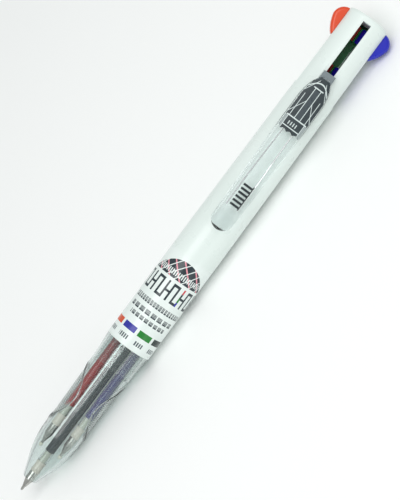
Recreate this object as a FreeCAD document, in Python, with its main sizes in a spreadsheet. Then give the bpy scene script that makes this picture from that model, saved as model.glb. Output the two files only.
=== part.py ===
import FreeCAD
import Part
import Sketcher
import math
import os

# A four-colour slider pen. It lies along X, with its writing point at the origin and its rear end at high X.
# Each colour has its own quarter of the barrel. A colour's pieces are drawn in a frame of their own, where
# X runs along the pen and Z points outwards through the middle of the colour's slot, with the slider pushed
# back. They are then rolled about X into their quarter. Black is the colour that is out.

# Driving dimensions, in millimetres.
DIMENSIONS = {
    "stroke": 12.7,
    "refill_offset": 3.0,
    "refill_reach": 80.3,
    # clear front grip
    "nose_front": 3.7,
    "nose_lip_radius": 1.95,
    "nose_hole_radius": 1.45,
    "nose_cone_end": 9.0,
    "nose_cone_radius": 3.85,
    "nose_curve_mid": 12.6,
    "nose_curve_mid_radius": 4.88,
    "nose_end": 18.5,
    "nose_end_radius": 5.45,
    "waist": 37.3,
    "waist_radius": 5.7,
    "flare_mid": 42.3,
    "flare_mid_radius": 5.9,
    "nose_bore_mid": 10.2,
    "nose_bore_mid_radius": 3.3,
    "nose_bore_turn": 14.0,
    "nose_bore_turn_radius": 4.1,
    "grip_bore_start": 17.5,
    "grip_bore_radius": 4.6,
    "grip_socket_start": 39.0,
    "grip_socket_radius": 5.15,
    "lip_round": 0.25,
    # ribbed panels pressed into the sides of the grip
    "rib_first": 20.65,
    "rib_pitch": 0.55,
    "rib_count": 29.0,
    "rib_groove_radius": 0.2,
    "rib_groove_depth": 0.1,
    "panel_half_length": 8.6,
    "panel_half_width": 3.1,
    # barrel
    "barrel_front": 46.6,
    "barrel_radius": 6.3,
    "barrel_taper_start": 80.0,
    "barrel_rear": 148.0,
    "barrel_rear_radius": 5.8,
    "barrel_bore_radius": 4.95,
    "sleeve_seat_radius": 5.25,
    "sleeve_seat_end": 58.0,
    "label_start": 47.1,
    "label_end": 74.0,
    "label_thickness": 0.08,
    "slot_width": 2.3,
    "slot_start": 127.6,
    "track_width": 3.7,
    "track_start": 125.6,
    "track_height": 5.55,
    # threaded sleeve between grip and barrel
    "sleeve_front": 39.5,
    "sleeve_front_radius": 4.95,
    "sleeve_bore_radius": 4.45,
    "thread_first": 41.7,
    "thread_pitch": 0.9,
    "thread_width": 0.4,
    "thread_radius": 5.1,
    "thread_count": 4.0,
    # spring seat
    "seat_start": 96.0,
    "seat_disc": 2.0,
    "seat_length": 5.0,
    "seat_rim": 0.35,
    "seat_hole_radius": 1.05,
    "seat_middle_hole_radius": 0.8,
    # end plug
    "plug_start": 146.95,
    "plug_end": 148.7,
    "plug_radius": 5.55,
    "plug_round": 0.5,
    "plug_hole_radius": 1.0,
    "tongue_start": 147.0,
    "tongue_root": 4.6,
    # sliders, pushed back
    "foot_start": 124.0,
    "foot_end": 134.4,
    "shoulder_start": 142.0,
    "shoulder_end": 146.0,
    "black_shoulder_start": 139.6,
    "black_shoulder_end": 143.6,
    "wedge_radius": 4.85,
    "wedge_gap": 0.25,
    "wedge_inner": 0.3,
    "spine_bottom": 3.4,
    "spine_top": 4.75,
    "neck_start": 140.6,
    "neck_end": 146.8,
    "neck_width": 2.1,
    "neck_bottom": 4.0,
    "knob_bottom": 5.6,
    "knob_width": 3.4,
    "knob_start": 140.3,
    "knob_step": 5.95,
    "knob_ramp": 142.5,
    "knob_ramp_height": 7.45,
    "knob_peak": 145.0,
    "knob_peak_height": 8.35,
    "knob_shoulder": 147.35,
    "knob_shoulder_height": 7.35,
    "knob_end": 148.1,
    "knob_round": 0.9,
    "rod_radius": 0.95,
    "rod_shoulder_gap": 1.5,
    "peg_neck_radius": 0.55,
    "peg_radius": 0.85,
    # head of the black slider, which holds the clip, pushed back
    "head_pivot": 140.9,
    "head_pivot_height": 6.75,
    "head_radius": 1.0,
    "head_end": 144.1,
    "head_neck_end": 143.9,
    # clip, pushed forward
    "clip_tip": 83.9,
    "clip_half_width": 3.5,
    "clip_round_start": 87.2,
    "clip_round_half_width": 2.95,
    "clip_taper_start": 116.0,
    "clip_arch_start": 122.5,
    "clip_arch_mid": 126.2,
    "clip_arch_mid_half_width": 3.04,
    "clip_rear": 127.9,
    "clip_rear_half_width": 1.9,
    "clip_lip_end": 130.0,
    "clip_lip_round_start": 128.8,
    "clip_lip_bottom": 7.9,
    "clip_lip_top": 8.15,
    "clip_socket_radius": 1.06,
    "clip_floor": 6.05,
    "clip_crown": 8.9,
    "clip_crown_start": 88.5,
    "clip_crown_mid": 104.0,
    "clip_crown_mid_height": 9.05,
    "clip_crown_end": 120.0,
    "clip_rear_mid": 125.4,
    "clip_rear_mid_height": 8.62,
    "clip_nose_mid": 85.0,
    "clip_nose_mid_height": 8.45,
    "clip_tip_height": 7.5,
    "clip_bump_front": 84.8,
    "clip_bump_front_height": 6.8,
    "clip_bump": 86.8,
    "clip_bump_height": 6.48,
    "clip_underside": 7.25,
    "clip_underside_start": 89.5,
    "clip_underside_end": 122.0,
    "clip_hollow_start": 90.5,
    "clip_hollow_end": 119.0,
    "clip_hollow_half_width": 2.1,
    "clip_hollow_end_half_width": 1.5,
    "clip_hollow_height": 7.95,
    # return springs
    "spring_radius": 1.3,
    "spring_wire_radius": 0.16,
    "spring_turns": 14.0,
    "spring_clearance": 0.06,
    # refills, measured back from the writing point
    "ball_radius": 0.25,
    "tip_front": 0.35,
    "tip_front_radius": 0.34,
    "tip_cup_radius": 0.27,
    "tip_cup_end": 0.53,
    "tip_feed_radius": 0.12,
    "tip_cone_end": 3.2,
    "tip_radius": 1.15,
    "tip_end": 6.4,
    "tip_spigot_end": 8.6,
    "tip_spigot_radius": 0.85,
    "tip_bore_radius": 0.35,
    "collar_radius": 1.35,
    "collar_end": 9.6,
    "collar_spigot_end": 12.6,
    "collar_bore_radius": 0.5,
    "tube_radius": 1.3,
    "tube_bore_radius": 0.9,
    "tube_past_peg": 1.3,
    "ink_end": 62.0,
    "follower_end": 66.0,
    "bead_front": -0.35,
    "bead_middle": 0.2,
    "bead_radius": 0.55,
    "bead_rear": 0.6,
    "bead_rear_radius": 0.46,
}

# The roll of each colour's quarter about X, in degrees. The pen lies on the green and the blue knob.
QUARTERS = {"black": 45, "blue": 135, "green": 225, "red": 315}
KNOB_COLOURS = ("blue", "green", "red")
BEAD_COLOURS = ("blue", "red")
PANEL_ROLLS = {"left": QUARTERS["red"], "right": QUARTERS["blue"]}

ALONG = FreeCAD.Vector(1, 0, 0)
ACROSS = FreeCAD.Vector(0, 1, 0)

document = FreeCAD.newDocument("slider_pen")


# ------------------------------------------------------------------ sizes


class Size:
    """A length, as the expression that FreeCAD reads and as its value in millimetres."""

    def __init__(self, text, value):
        self.text = text
        self.value = value

    def __add__(self, other):
        return Size(f"({self.text} + {other.text})", self.value + other.value)

    def __sub__(self, other):
        return Size(f"({self.text} - {other.text})", self.value - other.value)

    def __mul__(self, factor):
        return Size(f"({self.text} * {factor})", self.value * factor)

    def __neg__(self):
        return self * -1


def make_sheet():
    """The spreadsheet of driving dimensions: a name and a number in each row."""
    sheet = document.addObject("Spreadsheet::Sheet", "Sizes")
    for row, (name, number) in enumerate(DIMENSIONS.items(), start=1):
        sheet.set(f"A{row}", name)
        sheet.set(f"B{row}", str(number))
        sheet.setAlias(f"B{row}", name)
    document.recompute()
    return sheet


SHEET = make_sheet()
ZERO = Size("0", 0.0)


def size(name):
    """One cell of the sheet."""
    return Size(f"Sizes.{name}", float(SHEET.get(name)))


def number(name):
    """One cell's value."""
    return size(name).value


# ------------------------------------------------------------------ drawing


def make_body(label):
    body = document.addObject("PartDesign::Body", label)
    body.Label = label
    return body


def make_sketch(body, role, offset=None):
    """A sketch on one of the body's own planes, moved along the plane's normal by offset."""
    sketch = body.newObject("Sketcher::SketchObject", body.Name + "_sketch")
    plane = next(f for f in body.Origin.OriginFeatures if f.Role == role)
    sketch.AttachmentSupport = (plane, [""])
    sketch.MapMode = "FlatFace"
    if offset is not None:
        sketch.setExpression("AttachmentOffset.Base.z", offset.text)
    return sketch


def place_point(sketch, geometry, end, x, y):
    """Ties one end of a line or arc to a place in the sketch."""
    for kind, axis, place in (("DistanceX", -2, x), ("DistanceY", -1, y)):
        if place.text == ZERO.text:
            sketch.addConstraint(Sketcher.Constraint("PointOnObject", geometry, end, axis))
            continue
        if place.value < 0:
            pull = Sketcher.Constraint(kind, geometry, end, -1, 1, -place.value)
            index = sketch.addConstraint(pull)
            sketch.setExpression(f"Constraints[{index}]", (-place).text)
            continue
        index = sketch.addConstraint(Sketcher.Constraint(kind, -1, 1, geometry, end, place.value))
        sketch.setExpression(f"Constraints[{index}]", place.text)


def draw_loop(sketch, corners):
    """Closes a loop. A corner is (x, y), or (x, y, via_x, via_y) where an arc through via leads to it."""
    ends = []
    for start, corner in zip(corners[-1:] + corners[:-1], corners):
        first = FreeCAD.Vector(start[0].value, start[1].value, 0)
        last = FreeCAD.Vector(corner[0].value, corner[1].value, 0)
        if len(corner) == 2:
            index = sketch.addGeometry(Part.LineSegment(first, last), False)
            ends.append((index, 1, 2))
            continue
        via = FreeCAD.Vector(corner[2].value, corner[3].value, 0)
        index = sketch.addGeometry(Part.Arc(first, via, last), False)
        arc_start = sketch.getPoint(index, 1)
        forward = arc_start.distanceToPoint(first) < arc_start.distanceToPoint(last)
        ends.append((index, 1, 2) if forward else (index, 2, 1))
        point = sketch.addGeometry(Part.Point(via), True)
        sketch.addConstraint(Sketcher.Constraint("PointOnObject", point, 1, index))
        place_point(sketch, point, 1, corner[2], corner[3])
    for (index, _, last_end), (following, first_end, _) in zip(ends, ends[1:] + ends[:1]):
        sketch.addConstraint(Sketcher.Constraint("Coincident", index, last_end, following, first_end))
    for (index, _, last_end), corner in zip(ends, corners):
        place_point(sketch, index, last_end, corner[0], corner[1])


def draw_circle(sketch, x, y, radius):
    centre = FreeCAD.Vector(x.value, y.value, 0)
    index = sketch.addGeometry(Part.Circle(centre, FreeCAD.Vector(0, 0, 1), radius.value), False)
    place_point(sketch, index, 3, x, y)
    tied = sketch.addConstraint(Sketcher.Constraint("Radius", index, radius.value))
    sketch.setExpression(f"Constraints[{tied}]", radius.text)


def draw_box(sketch, low_x, high_x, low_y, high_y):
    draw_loop(sketch, [(low_x, low_y), (high_x, low_y), (high_x, high_y), (low_x, high_y)])


def turn(body, corners, kind="PartDesign::Revolution"):
    """Turns an outline of (x, radius) corners about the pen's axis, to add or with Groove to remove."""
    sketch = make_sketch(body, "XY_Plane")
    draw_loop(sketch, corners)
    document.recompute()
    feature = body.newObject(kind, body.Name + "_turn")
    feature.Profile = sketch
    feature.ReferenceAxis = (sketch, ["H_Axis"])
    feature.Angle = 360
    return feature


def turn_ring(body, low_x, high_x, low_radius, high_radius, kind="PartDesign::Revolution"):
    corners = [(low_x, low_radius), (high_x, low_radius), (high_x, high_radius), (low_x, high_radius)]
    return turn(body, corners, kind)


def extrude(body, sketch, length, kind="PartDesign::Pad", both_ways=False, backwards=False):
    """Pads or pockets a sketch."""
    feature = body.newObject(kind, body.Name + "_extrude")
    feature.Profile = sketch
    feature.SideType = "Symmetric" if both_ways else "One side"
    feature.Reversed = backwards
    feature.setExpression("Length", length.text)
    return feature


def repeat_round(body, feature, count):
    """Repeats a feature in equal turns about the pen's axis."""
    pattern = body.newObject("PartDesign::PolarPattern", body.Name + "_round")
    pattern.Originals = [feature]
    axis = next(f for f in body.Origin.OriginFeatures if f.Role == "X_Axis")
    pattern.Axis = (axis, [""])
    pattern.Angle = 360
    pattern.Occurrences = count
    body.Tip = pattern
    return pattern


def round_edges(body, feature, radius, chosen):
    """Fillets the edges of a feature for which chosen(edge) is true."""
    document.recompute()
    names = [f"Edge{i}" for i, edge in enumerate(feature.Shape.Edges, start=1) if chosen(edge)]
    fillet = body.newObject("PartDesign::Fillet", body.Name + "_fillet")
    fillet.Base = (feature, names)
    fillet.setExpression("Radius", radius.text)
    body.Tip = fillet
    return fillet


def is_round_edge(edge, x, radius):
    """Whether an edge is a circle or arc about the pen's axis at x with that radius."""
    near = 1e-3
    curve = edge.Curve
    return (
        hasattr(curve, "Radius")
        and abs(curve.Radius - radius.value) < near
        and abs(curve.Center.x - x.value) < near
    )


# ------------------------------------------------------------------ places


def rolled(roll, shift=0.0):
    """The placement of a piece drawn in its colour's own frame, moved along the pen by shift."""
    return FreeCAD.Placement(FreeCAD.Vector(shift, 0, 0), FreeCAD.Rotation(ALONG, roll))


def refill_tilt():
    """The tilt in degrees of the refill that is out: its point is on the axis and its peg at the offset."""
    return math.degrees(math.asin(number("refill_offset") / number("refill_reach")))


def peg_place(colour):
    """How far back a colour's peg is, which is where its refill tilts."""
    out = number("refill_reach") * math.cos(math.radians(refill_tilt()))
    return out if colour == "black" else out + number("stroke")


def refill_place(colour):
    """The placement of a refill drawn along X with its point at the origin."""
    peg = FreeCAD.Vector(peg_place(colour), 0, number("refill_offset"))
    tilt = -refill_tilt() if colour == "black" else 0.0
    lean = FreeCAD.Placement(peg, FreeCAD.Rotation(ACROSS, tilt))
    from_point = FreeCAD.Placement(FreeCAD.Vector(-number("refill_reach"), 0, 0), FreeCAD.Rotation())
    return rolled(QUARTERS[colour]).multiply(lean).multiply(from_point)


def slider_shift(colour):
    """How far a slider is moved along the pen from its pushed-back place."""
    return -number("stroke") if colour == "black" else 0.0


# ------------------------------------------------------------------ barrel and grip


def make_rib_rings():
    """The rings that press the fine grooves into the grip, joined as one tool."""
    rise = number("waist_radius") - number("nose_end_radius")
    slope = rise / (number("waist") - number("nose_end"))
    rings = []
    for index in range(int(number("rib_count"))):
        x = number("rib_first") + index * number("rib_pitch")
        surface = number("nose_end_radius") + slope * (x - number("nose_end"))
        ring = document.addObject("Part::Torus", f"rib_ring_{index}")
        ring.Radius1 = surface + number("rib_groove_radius") - number("rib_groove_depth")
        ring.setExpression("Radius2", size("rib_groove_radius").text)
        ring.Placement = FreeCAD.Placement(FreeCAD.Vector(x, 0, 0), FreeCAD.Rotation(ACROSS, 90))
        rings.append(ring)
    tool = document.addObject("Part::MultiFuse", "rib_rings")
    tool.Shapes = rings
    return tool


def make_panel_block(side, roll):
    """A leaf-shaped block that stands out through one side of the grip."""
    middle = number("rib_first") + number("rib_pitch") * (number("rib_count") - 1) / 2
    front = FreeCAD.Vector(middle - number("panel_half_length"), 0, 0)
    rear = FreeCAD.Vector(middle + number("panel_half_length"), 0, 0)
    edges = [
        Part.Arc(front, FreeCAD.Vector(middle, half_width, 0), rear).toShape()
        for half_width in (number("panel_half_width"), -number("panel_half_width"))
    ]
    leaf = Part.Face(Part.Wire([edges[0], edges[1].reversed()]))
    block = document.addObject("Part::Feature", f"panel_{side}")
    block.Shape = leaf.extrude(FreeCAD.Vector(0, 0, 2 * number("barrel_radius")))
    block.Placement = rolled(roll)
    return block


def make_front_grip():
    """Clear grip and nose: an ogive shell with a guide hole in front and fine ribs on each side."""
    body = make_body("grip_shell")
    curve_mid = (size("nose_curve_mid"), size("nose_curve_mid_radius"))
    flare_mid = (size("flare_mid"), size("flare_mid_radius"))
    shell = turn(
        body,
        [
            (size("nose_front"), size("nose_hole_radius")),
            (size("nose_front"), size("nose_lip_radius")),
            (size("nose_cone_end"), size("nose_cone_radius")),
            (size("nose_end"), size("nose_end_radius"), *curve_mid),
            (size("waist"), size("waist_radius")),
            (size("barrel_front"), size("barrel_radius"), *flare_mid),
            (size("barrel_front"), size("grip_socket_radius")),
            (size("grip_socket_start"), size("grip_socket_radius")),
            (size("grip_socket_start"), size("grip_bore_radius")),
            (size("grip_bore_start"), size("grip_bore_radius")),
            (size("nose_bore_turn"), size("nose_bore_turn_radius")),
            (size("nose_bore_mid"), size("nose_bore_mid_radius")),
        ],
    )
    lip = (size("nose_front"), size("nose_lip_radius"))
    round_edges(body, shell, size("lip_round"), lambda edge: is_round_edge(edge, *lip))
    rings = make_rib_rings()
    grooves = []
    for side, roll in PANEL_ROLLS.items():
        groove = document.addObject("Part::Common", f"grooves_{side}")
        groove.Base = rings
        groove.Tool = make_panel_block(side, roll)
        grooves.append(groove)
    tool = document.addObject("Part::MultiFuse", "grooves")
    tool.Shapes = grooves
    grip = document.addObject("Part::Cut", "front_grip")
    grip.Base = body
    grip.Tool = tool
    return {"front_grip": grip}


def make_barrel():
    """White barrel: a tube with a seat for the label, and a slot and a flat track for each colour."""
    body = make_body("barrel")
    turn(
        body,
        [
            (size("barrel_front"), size("sleeve_seat_radius")),
            (size("barrel_front"), size("barrel_radius")),
            (size("label_start"), size("barrel_radius")),
            (size("label_start"), size("barrel_radius") - size("label_thickness")),
            (size("label_end"), size("barrel_radius") - size("label_thickness")),
            (size("label_end"), size("barrel_radius")),
            (size("barrel_taper_start"), size("barrel_radius")),
            (size("barrel_rear"), size("barrel_rear_radius")),
            (size("barrel_rear"), size("barrel_bore_radius")),
            (size("sleeve_seat_end"), size("barrel_bore_radius")),
            (size("sleeve_seat_end"), size("sleeve_seat_radius")),
        ],
    )
    slot = make_sketch(body, "XY_Plane")
    half = size("slot_width") * 0.5
    past_rear = size("barrel_rear") + size("slot_width")
    draw_box(slot, size("slot_start"), past_rear, -half, half)
    document.recompute()
    cut = extrude(body, slot, size("barrel_radius") * 2, "PartDesign::Pocket", backwards=True)
    repeat_round(body, cut, len(QUARTERS))
    document.recompute()
    track = make_sketch(body, "XY_Plane", size("track_height"))
    half = size("track_width") * 0.5
    draw_box(track, size("track_start"), past_rear, -half, half)
    document.recompute()
    flat = extrude(body, track, size("barrel_radius"), "PartDesign::Pocket", backwards=True)
    repeat_round(body, flat, len(QUARTERS))
    body.Placement = rolled(QUARTERS["black"])
    return {"barrel": body}


def make_label():
    """Printed film wrapped round the barrel in its shallow seat."""
    body = make_body("label_film")
    turn_ring(
        body,
        size("label_start"),
        size("label_end"),
        size("barrel_radius") - size("label_thickness"),
        size("barrel_radius"),
    )
    return {"label_film": body}


def make_coupling_sleeve():
    """Threaded sleeve fixed in the barrel's front, on which the grip screws. Each thread crest is a ring."""
    body = make_body("coupling_sleeve")
    turn(
        body,
        [
            (size("sleeve_front"), size("sleeve_bore_radius")),
            (size("sleeve_front"), size("sleeve_front_radius")),
            (size("barrel_front"), size("sleeve_front_radius")),
            (size("barrel_front"), size("sleeve_seat_radius")),
            (size("sleeve_seat_end"), size("sleeve_seat_radius")),
            (size("sleeve_seat_end"), size("sleeve_bore_radius")),
        ],
    )
    for index in range(int(number("thread_count"))):
        start = size("thread_first") + size("thread_pitch") * index
        overlap = size("sleeve_bore_radius") + size("thread_width") * 0.5
        turn_ring(body, start, start + size("thread_width"), overlap, size("thread_radius"))
    return {"coupling_sleeve": body}


def make_spring_seat():
    """Round seat across the barrel's bore, with a guide hole for each slider's rod."""
    body = make_body("spring_seat")
    seat_end = size("seat_start") + size("seat_length")
    disc_end = size("seat_start") + size("seat_disc")
    middle_hole = size("seat_middle_hole_radius")
    turn_ring(body, size("seat_start"), disc_end, middle_hole, size("barrel_bore_radius"))
    rim = size("barrel_bore_radius") - size("seat_rim")
    turn_ring(body, size("seat_start"), seat_end, rim, size("barrel_bore_radius"))
    holes = make_sketch(body, "YZ_Plane", size("seat_start"))
    draw_circle(holes, ZERO, size("refill_offset"), size("seat_hole_radius"))
    document.recompute()
    hole = extrude(body, holes, size("seat_disc"), "PartDesign::Pocket", backwards=True)
    repeat_round(body, hole, len(QUARTERS))
    body.Placement = rolled(QUARTERS["black"])
    return {"spring_seat": body}


def make_end_plug():
    """Plug that closes the barrel's rear end, with a tongue that fills the open end of each slot."""
    body = make_body("end_plug")
    plug = turn(
        body,
        [
            (size("plug_start"), size("plug_hole_radius")),
            (size("plug_start"), size("barrel_bore_radius")),
            (size("barrel_rear"), size("barrel_bore_radius")),
            (size("barrel_rear"), size("plug_radius")),
            (size("plug_end"), size("plug_radius")),
            (size("plug_end"), ZERO),
            (size("barrel_rear"), ZERO),
            (size("barrel_rear"), size("plug_hole_radius")),
        ],
    )
    rim = (size("plug_end"), size("plug_radius"))
    round_edges(body, plug, size("plug_round"), lambda edge: is_round_edge(edge, *rim))
    tongue = make_sketch(body, "XZ_Plane")
    draw_box(tongue, size("tongue_start"), size("barrel_rear"), size("tongue_root"), size("track_height"))
    document.recompute()
    pad = extrude(body, tongue, size("slot_width"), both_ways=True)
    repeat_round(body, pad, len(QUARTERS))
    body.Placement = rolled(QUARTERS["black"])
    return {"end_plug": body}


# ------------------------------------------------------------------ sliders and clip


def draw_wedge(body, start, end):
    """A quarter wedge that guides a slider in its own quarter of the bore."""
    sketch = make_sketch(body, "YZ_Plane", start)
    radius = number("wedge_radius")
    gap = number("wedge_gap")
    reach = math.sqrt(radius**2 / 2 - gap**2 / 4)
    reach_text = "sqrt(Sizes.wedge_radius ^ 2 / 2 - Sizes.wedge_gap ^ 2 / 4)"
    top = size("wedge_gap") * 0.5 + Size(reach_text, reach)
    side = top - size("wedge_gap")
    bottom = size("wedge_inner")
    bottom_side = bottom - size("wedge_gap")
    draw_loop(
        sketch,
        [
            (-bottom_side, bottom),
            (bottom_side, bottom),
            (side, top),
            (-side, top, ZERO, size("wedge_radius")),
        ],
    )
    document.recompute()
    return extrude(body, sketch, end - start)


def pad_side_view(body, corners, width):
    """Pads an outline drawn in the slider's side view, evenly to both sides."""
    sketch = make_sketch(body, "XZ_Plane")
    draw_loop(sketch, corners)
    document.recompute()
    return extrude(body, sketch, width, both_ways=True)


def pushed_back_peg():
    """Where a peg is along the pen when its slider is pushed back."""
    text = "(sqrt(Sizes.refill_reach ^ 2 - Sizes.refill_offset ^ 2) + Sizes.stroke)"
    return Size(text, peg_place("red"))


def pad_bar(body, start, end, bottom, top):
    """Pads a bar as wide as a slider's neck."""
    corners = [(start, bottom), (end, bottom), (end, top), (start, top)]
    return pad_side_view(body, corners, size("neck_width"))


def add_inside(body, shoulder_start, shoulder_end):
    """The part of a slider inside the barrel: guide wedges, spine, spring rod and the peg for the refill."""
    peg = pushed_back_peg()
    draw_wedge(body, size("foot_start"), size("foot_end"))
    pad_bar(body, size("foot_start"), shoulder_end, size("spine_bottom"), size("spine_top"))
    draw_wedge(body, shoulder_start, shoulder_end)
    for start, end, radius in (
        (peg + size("rod_shoulder_gap"), size("foot_start"), size("rod_radius")),
        (peg, peg + size("rod_shoulder_gap"), size("peg_neck_radius")),
    ):
        sketch = make_sketch(body, "YZ_Plane", start)
        draw_circle(sketch, ZERO, size("refill_offset"), radius)
        document.recompute()
        extrude(body, sketch, end - start)
    ball = body.newObject("PartDesign::AdditiveSphere", body.Name + "_peg")
    ball.setExpression("Radius", size("peg_radius").text)
    ball.setExpression("Placement.Base.x", peg.text)
    ball.setExpression("Placement.Base.z", size("refill_offset").text)
    body.Tip = ball


def is_knob_edge(edge):
    """Whether an edge runs along the outside of a knob, above its foot."""
    box = edge.BoundBox
    side = number("knob_width") / 2
    flat = box.YLength < 1e-6 and abs(abs(box.YMin) - side) < 1e-6
    return flat and box.ZMax > number("knob_step") + 0.1


def make_knob_slider(colour):
    """Slider with a thumb knob outside the barrel."""
    body = make_body(f"{colour}_slider")
    add_inside(body, size("shoulder_start"), size("shoulder_end"))
    pad_bar(body, size("neck_start"), size("neck_end"), size("neck_bottom"), size("knob_step"))
    ramp = (size("knob_ramp"), size("knob_ramp_height"))
    shoulder = (size("knob_shoulder"), size("knob_shoulder_height"))
    knob = pad_side_view(
        body,
        [
            (size("knob_start"), size("knob_bottom")),
            (size("knob_start"), size("knob_step")),
            (size("knob_peak"), size("knob_peak_height"), *ramp),
            (size("knob_end"), size("knob_step"), *shoulder),
            (size("knob_end"), size("knob_bottom")),
        ],
        size("knob_width"),
    )
    round_edges(body, knob, size("knob_round"), is_knob_edge)
    body.Placement = rolled(QUARTERS[colour], slider_shift(colour))
    return {f"{colour}_slider": body}


def make_black_slider():
    """Slider whose head holds the clip outside the barrel. It is pushed forward."""
    body = make_body("black_slider")
    add_inside(body, size("black_shoulder_start"), size("black_shoulder_end"))
    pivot_height = size("head_pivot_height")
    pad_bar(body, size("neck_start"), size("head_neck_end"), size("neck_bottom"), pivot_height)
    low = pivot_height - size("head_radius")
    high = pivot_height + size("head_radius")
    nose = (size("head_pivot") - size("head_radius"), pivot_height)
    pad_side_view(
        body,
        [
            (size("head_pivot"), low, *nose),
            (size("head_end"), low),
            (size("head_end"), high),
            (size("head_pivot"), high),
        ],
        size("knob_width"),
    )
    body.Placement = rolled(QUARTERS["black"], slider_shift("black"))
    return {"black_slider": body}


def make_clip():
    """Clear clip: an arched arm, hollow below, with a bump at its tip and a socket for the slider's head."""
    body = make_body("clip")
    rear_mid = (size("clip_rear_mid"), size("clip_rear_mid_height"))
    crown_mid = (size("clip_crown_mid"), size("clip_crown_mid_height"))
    nose_mid = (size("clip_nose_mid"), size("clip_nose_mid_height"))
    bump_front = (size("clip_bump_front"), size("clip_bump_front_height"))
    pad_side_view(
        body,
        [
            (size("clip_rear"), size("clip_floor")),
            (size("clip_rear"), size("clip_lip_bottom")),
            (size("clip_lip_end"), size("clip_lip_bottom")),
            (size("clip_lip_end"), size("clip_lip_top")),
            (size("clip_crown_end"), size("clip_crown"), *rear_mid),
            (size("clip_crown_start"), size("clip_crown"), *crown_mid),
            (size("clip_tip"), size("clip_tip_height"), *nose_mid),
            (size("clip_bump"), size("clip_bump_height"), *bump_front),
            (size("clip_underside_start"), size("clip_underside")),
            (size("clip_underside_end"), size("clip_underside")),
        ],
        size("clip_half_width") * 2,
    )
    outline = make_sketch(body, "XY_Plane")
    side = size("clip_half_width")
    tip_side = size("clip_round_half_width")
    rear_side = size("clip_rear_half_width")
    arch_side = size("clip_arch_mid_half_width")
    past_rear = size("clip_lip_end") + side
    draw_loop(
        outline,
        [
            (size("clip_lip_round_start"), -rear_side, size("clip_arch_mid"), -arch_side),
            (size("clip_lip_round_start"), rear_side, size("clip_lip_end"), ZERO),
            (size("clip_arch_start"), side, size("clip_arch_mid"), arch_side),
            (size("clip_taper_start"), side),
            (size("clip_round_start"), tip_side),
            (size("clip_round_start"), -tip_side, size("clip_tip"), ZERO),
            (size("clip_taper_start"), -side),
            (size("clip_arch_start"), -side),
        ],
    )
    draw_box(outline, size("clip_tip") - side, past_rear + side, -side * 2, side * 2)
    document.recompute()
    extrude(body, outline, size("clip_crown") * 2, "PartDesign::Pocket", backwards=True)
    hollow = make_sketch(body, "XY_Plane")
    near = size("clip_hollow_half_width")
    far = size("clip_hollow_end_half_width")
    draw_loop(
        hollow,
        [
            (size("clip_hollow_start"), -near),
            (size("clip_hollow_end"), -far),
            (size("clip_hollow_end"), far),
            (size("clip_hollow_start"), near),
        ],
    )
    document.recompute()
    extrude(body, hollow, size("clip_hollow_height"), "PartDesign::Pocket", backwards=True)
    socket = make_sketch(body, "XZ_Plane")
    pivot = size("head_pivot") - size("stroke")
    draw_circle(socket, pivot, size("head_pivot_height"), size("clip_socket_radius"))
    document.recompute()
    extrude(body, socket, size("clip_half_width") * 2, "PartDesign::Pocket", both_ways=True)
    body.Placement = rolled(QUARTERS["black"])
    return {"clip": body}


# ------------------------------------------------------------------ springs and refills


def make_spring(colour):
    """Return spring between the spring seat and the slider's foot."""
    body = make_body(f"{colour}_spring")
    start = number("seat_start") + number("seat_disc")
    room = size("foot_start") - size("seat_start") - size("seat_disc")
    if colour == "black":
        room = room - size("stroke")
    wire = size("spring_wire_radius")
    first = wire + size("spring_clearance")
    sketch = make_sketch(body, "XY_Plane")
    draw_circle(sketch, first, size("spring_radius"), wire)
    document.recompute()
    coil = body.newObject("PartDesign::AdditiveHelix", body.Name + "_coil")
    coil.Profile = sketch
    coil.ReferenceAxis = (sketch, ["H_Axis"])
    coil.Mode = "height-turns-angle"
    coil.setExpression("Height", (room - first * 2).text)
    coil.setExpression("Turns", size("spring_turns").text)
    body.Placement = rolled(QUARTERS[colour]).multiply(
        FreeCAD.Placement(FreeCAD.Vector(start, 0, number("refill_offset")), FreeCAD.Rotation())
    )
    return {f"{colour}_spring": body}


def make_ball(colour):
    """Writing ball, held in the front of the metal tip."""
    ball = document.addObject("Part::Sphere", f"{colour}_ball")
    ball.setExpression("Radius", size("ball_radius").text)
    centre = FreeCAD.Placement(FreeCAD.Vector(number("ball_radius"), 0, 0), FreeCAD.Rotation())
    ball.Placement = refill_place(colour).multiply(centre)
    return ball


def make_bead(colour):
    """Small protective bead of wax over a new writing point."""
    body = make_body(f"{colour}_bead")
    cone_length = number("tip_cone_end") - number("tip_front")
    cone_slope = (number("tip_radius") - number("tip_front_radius")) / cone_length
    on_cone = size("tip_front_radius") + (size("bead_rear") - size("tip_front")) * cone_slope
    turn(
        body,
        [
            (size("bead_front"), ZERO),
            (size("bead_rear"), size("bead_rear_radius"), size("bead_middle"), size("bead_radius")),
            (size("bead_rear"), on_cone),
            (size("tip_front"), size("tip_front_radius")),
            (size("tip_front"), size("ball_radius")),
            (ZERO, size("ball_radius")),
            (ZERO, ZERO),
        ],
    )
    body.Placement = refill_place(colour)
    return body


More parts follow.
